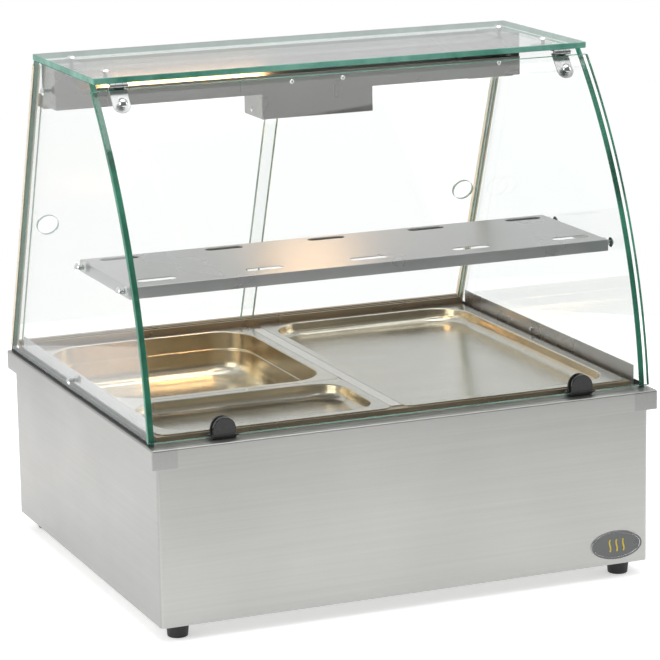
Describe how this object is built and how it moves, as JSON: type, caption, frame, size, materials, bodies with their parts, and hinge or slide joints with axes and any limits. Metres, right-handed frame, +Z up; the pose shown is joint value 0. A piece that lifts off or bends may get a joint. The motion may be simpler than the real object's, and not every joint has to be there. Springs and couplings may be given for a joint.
{
  "type": "hot food display case",
  "caption": "Counter-top hot food display case with a heated water well, gastronorm pans, curved hinged front glass, slotted shelf, lamp beam and sliding rear doors.",
  "frame": {"origin": "middle of the footprint, on the surface that the feet stand on", "axes": "+Z up, the glass front faces -Y, +X to the right of someone facing the front"},
  "size_m": [0.717, 0.614, 0.7044],
  "materials": {
    "brushed_steel": "brushed stainless sheet",
    "polished_steel": "bright, nearly mirror stainless sheet",
    "chrome": "bright plated or polished stainless fixings",
    "tempered_glass": "clear tempered glass with green polished edges",
    "door_glass": "clear sheet, polished edges",
    "black_rubber": "matt black rubber",
    "black_plastic": "satin black moulding",
    "clear_plastic": "translucent washer",
    "cream_trim": "translucent cream channel",
    "badge_grey": "grey enamel with a plain raised border",
    "white_ceramic": "unglazed white ceramic",
    "quartz": "quartz tube of a halogen lamp",
    "heater_sheath": "dull heater sheath, darkened by heat",
    "phenolic": "moulded thermostat case",
    "copper": "copper capillary and bulb",
    "amber_lens": "moulded lens",
    "brass": "turned brass, dulled",
    "red_plastic": "red moulding",
    "green_plastic": "green moulding"
  },
  "bodies": {
    "case": {"outer_casing": "brushed_steel", "bottom_plate": "brushed_steel", "rear_panel": "brushed_steel", "rim_frame": "brushed_steel", "feet": "black_rubber", "badge": "badge_grey", "well_tank": "polished_steel", "centre_bar": "polished_steel", "cross_bar": "polished_steel", "upstand_left": "brushed_steel", "upstand_right": "brushed_steel", "glass_gaskets": "black_rubber", "edge_trims": "cream_trim", "door_bottom_rail": "polished_steel", "door_top_rail": "polished_steel", "side_glass_left": "tempered_glass", "side_glass_right": "tempered_glass", "top_glass": "tempered_glass", "top_glass_screws": "chrome", "hinge_plates": "chrome", "hinge_pins": "chrome", "top_beam": "brushed_steel", "beam_end_left": "brushed_steel", "beam_end_right": "brushed_steel", "cable_cover": "brushed_steel", "lamp_housing": "brushed_steel", "lamp_reflector": "polished_steel", "lamp_holders": "white_ceramic", "lamp_tube": "quartz", "lamp_guard": "chrome", "shelf": "polished_steel", "shelf_pins": "chrome", "shelf_spacers": "clear_plastic", "side_screws": "chrome", "housing_screws": "chrome", "panel_screws": "chrome", "heating_element": "heater_sheath", "element_clamps": "brushed_steel", "thermostat_body": "phenolic", "thermostat_bulb": "copper", "switch_bodies": "black_plastic", "indicator_lamps": "amber_lens", "terminal_block": "white_ceramic", "cable_gland": "black_plastic", "drain_pipe": "brass", "drain_valve": "brass"},
    "front_glass": {"front_glass": "tempered_glass", "glass_clips": "black_plastic", "hinge_leaves": "chrome", "leaf_rivets": "chrome"},
    "door_left": {"door_left": "door_glass"},
    "door_right": {"door_right": "door_glass"},
    "large_pan": {"large_pan": "polished_steel"},
    "small_pan": {"small_pan": "polished_steel"},
    "full_tray": {"full_tray": "polished_steel"},
    "thermostat_knob": {"thermostat_knob": "black_plastic"},
    "power_rocker": {"power_rocker": "green_plastic"},
    "light_rocker": {"light_rocker": "red_plastic"},
    "drain_lever": {"drain_lever": "red_plastic"}
  },
  "joints": [
    {"name": "front_glass_hinge", "type": "hinge", "parent": "case", "child": "front_glass", "pos_m": [0, -0.103, 0.6895], "axis": [-1, 0, 0], "range_deg": [0, 80]},
    {"name": "door_left_slide", "type": "slide", "parent": "case", "child": "door_left", "axis": [1, 0, 0], "range_m": [0, 0.313]},
    {"name": "door_right_slide", "type": "slide", "parent": "case", "child": "door_right", "axis": [-1, 0, 0], "range_m": [0, 0.313]},
    {"name": "large_pan_lift", "type": "slide", "parent": "case", "child": "large_pan", "axis": [0, 0, 1], "range_m": [0, 0.03]},
    {"name": "small_pan_lift", "type": "slide", "parent": "case", "child": "small_pan", "axis": [0, 0, 1], "range_m": [0, 0.07]},
    {"name": "full_tray_lift", "type": "slide", "parent": "case", "child": "full_tray", "axis": [0, 0, 1], "range_m": [0, 0.03]},
    {"name": "thermostat_turn", "type": "hinge", "parent": "case", "child": "thermostat_knob", "pos_m": [0.21, 0.275, 0.082], "axis": [0, -1, 0], "range_deg": [0, 270]},
    {"name": "power_switch", "type": "hinge", "parent": "case", "child": "power_rocker", "pos_m": [0.275, 0.27, 0.082], "axis": [1, 0, 0], "range_deg": [0, 16]},
    {"name": "light_switch", "type": "hinge", "parent": "case", "child": "light_rocker", "pos_m": [0.312, 0.27, 0.082], "axis": [1, 0, 0], "range_deg": [0, 16]},
    {"name": "drain_valve_turn", "type": "hinge", "parent": "case", "child": "drain_lever", "pos_m": [-0.25, 0.287, 0.104], "axis": [0, 0, 1], "range_deg": [0, 90]}
  ]
}
